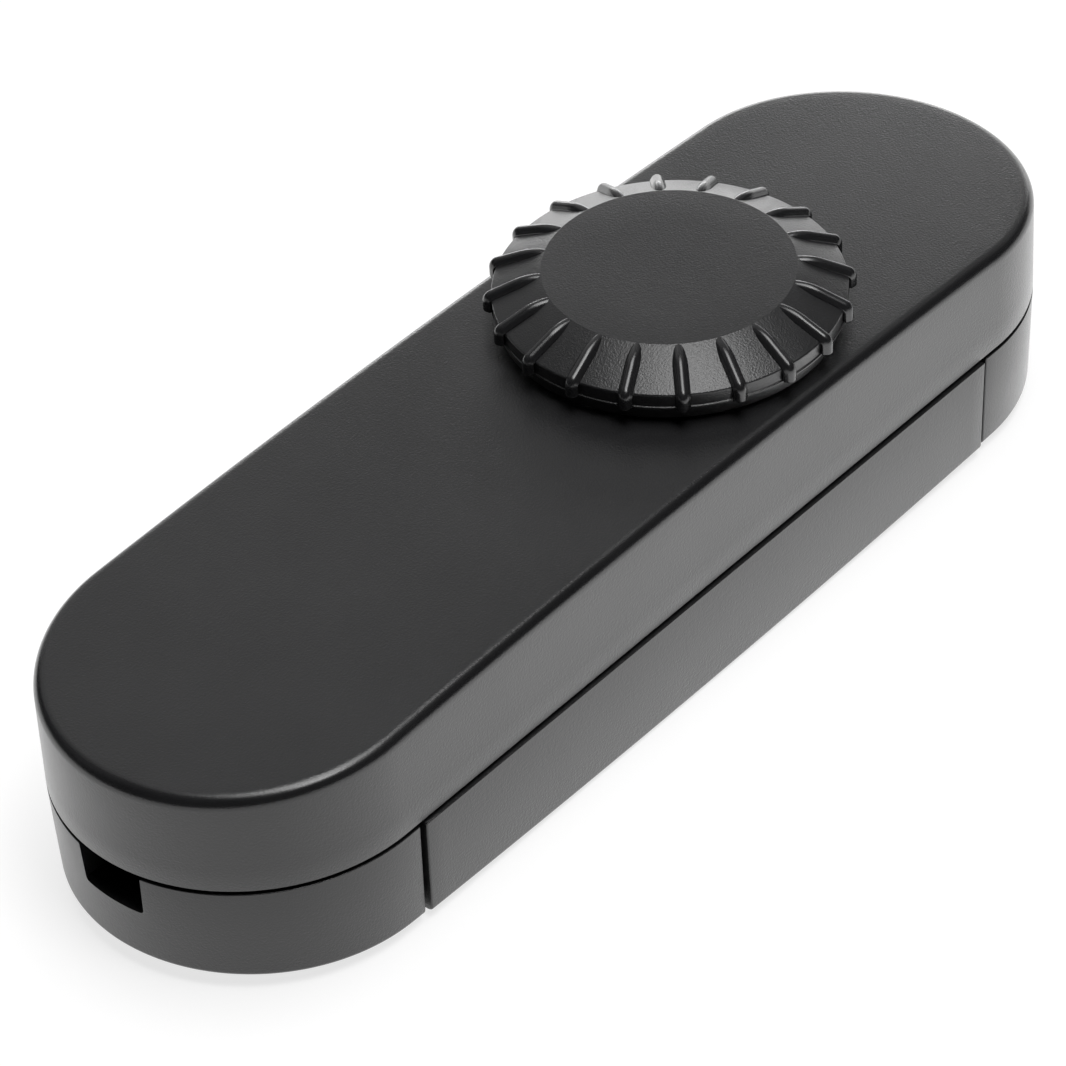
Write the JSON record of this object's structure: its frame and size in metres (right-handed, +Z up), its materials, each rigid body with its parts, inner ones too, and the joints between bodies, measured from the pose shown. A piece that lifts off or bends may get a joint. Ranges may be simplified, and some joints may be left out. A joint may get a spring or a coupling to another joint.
{
  "type": "rotary cord dimmer",
  "caption": "Stadium-shaped in-line lamp cord dimmer: black moulded housing with arched roof, off-centre ribbed turning knob, cord slot at each end and screw-on end covers.",
  "frame": {"origin": "under the middle of the housing, at the level of the surface it rests on", "axes": "+X along the housing towards the end with the knob, +Z up through the knob"},
  "size_m": [0.1166, 0.0356, 0.0283],
  "materials": {
    "housing_plastic": "fine spark-eroded black moulding",
    "knob_plastic": "fine spark-eroded black moulding with smooth ribs",
    "shaft_plastic": "plain moulded",
    "terminal_plastic": "plain moulded",
    "capacitor_case": "gloss moulded",
    "laminate": "pressed laminate",
    "screw_steel": "bright zinc plated",
    "contact_brass": "plain",
    "copper_wire": "lacquered copper wire",
    "aluminium": "plain",
    "ferrite": "sintered"
  },
  "bodies": {
    "housing": {"top_cover": "housing_plastic", "base": "housing_plastic", "end_cover_near": "housing_plastic", "end_cover_far": "housing_plastic", "end_cover_screws": "screw_steel", "pot_housing": "shaft_plastic", "pot_bush": "contact_brass", "pot_track": "laminate", "pot_pins": "contact_brass", "circuit_board": "laminate", "film_capacitor": "capacitor_case", "can_capacitor": "aluminium", "choke_core": "ferrite", "choke_winding": "copper_wire", "fuse": "shaft_plastic", "heat_sink": "aluminium", "transistor": "shaft_plastic", "terminal_block_near": "terminal_plastic", "terminal_block_far": "terminal_plastic", "terminal_cages_near": "contact_brass", "terminal_cages_far": "contact_brass", "terminal_screws": "screw_steel"},
    "knob_rotor": {"knob": "knob_plastic", "pot_shaft": "shaft_plastic", "pot_wiper": "contact_brass"}
  },
  "joints": [
    {"name": "knob_turn", "type": "hinge", "parent": "housing", "child": "knob_rotor", "pos_m": [0.0151, 0, 0.0227], "axis": [0, 0, -1], "range_deg": [0, 280]}
  ]
}
